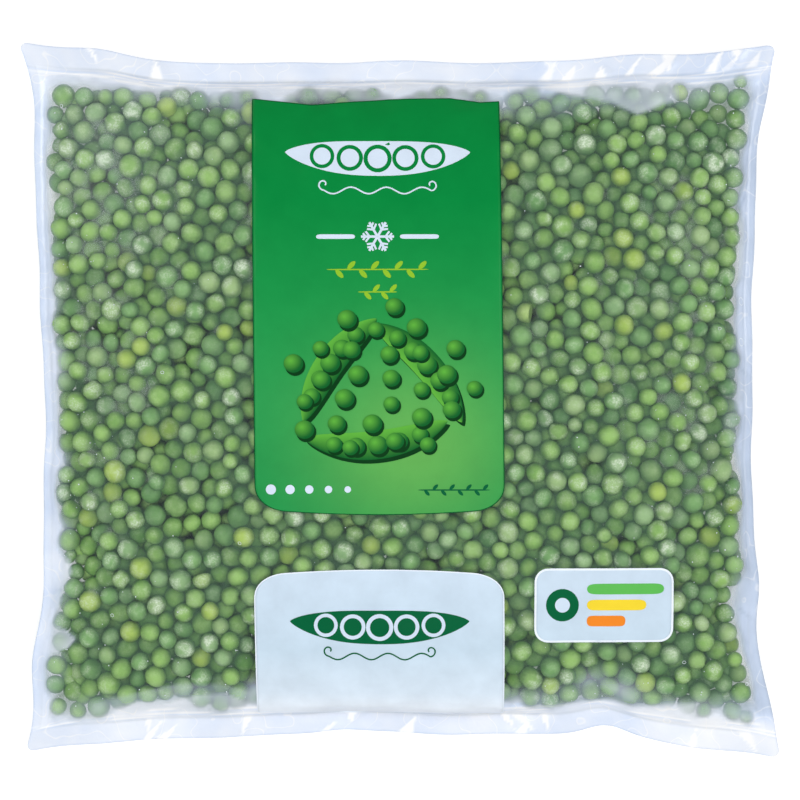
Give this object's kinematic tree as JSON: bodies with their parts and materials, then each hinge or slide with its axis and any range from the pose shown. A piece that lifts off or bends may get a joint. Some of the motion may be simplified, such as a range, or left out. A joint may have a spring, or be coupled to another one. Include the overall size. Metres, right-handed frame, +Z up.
{
  "type": "bag of frozen peas",
  "caption": "Clear pillow bag full of frozen peas, lying flat on its back, with a sealed band across each end, a creased lip down each side and flared corners.",
  "frame": {"origin": "on the table under the middle of the bag's outline, with the bag lying on its back", "axes": "+X across the bag to the right of its front, +Y along the bag to its top seal, +Z up out of the front"},
  "size_m": [0.258, 0.243, 0.0361],
  "materials": {
    "film": "clear, slightly milky bag film with soft gloss",
    "peas": "frozen green peas, satin skin with frost",
    "green_print": "green ink printed on the film",
    "white_print": "white ink printed on the film",
    "frost": "small ice grains and droplets inside the film"
  },
  "bodies": {
    "root": {"bag": "film"}
  },
  "joints": []
}
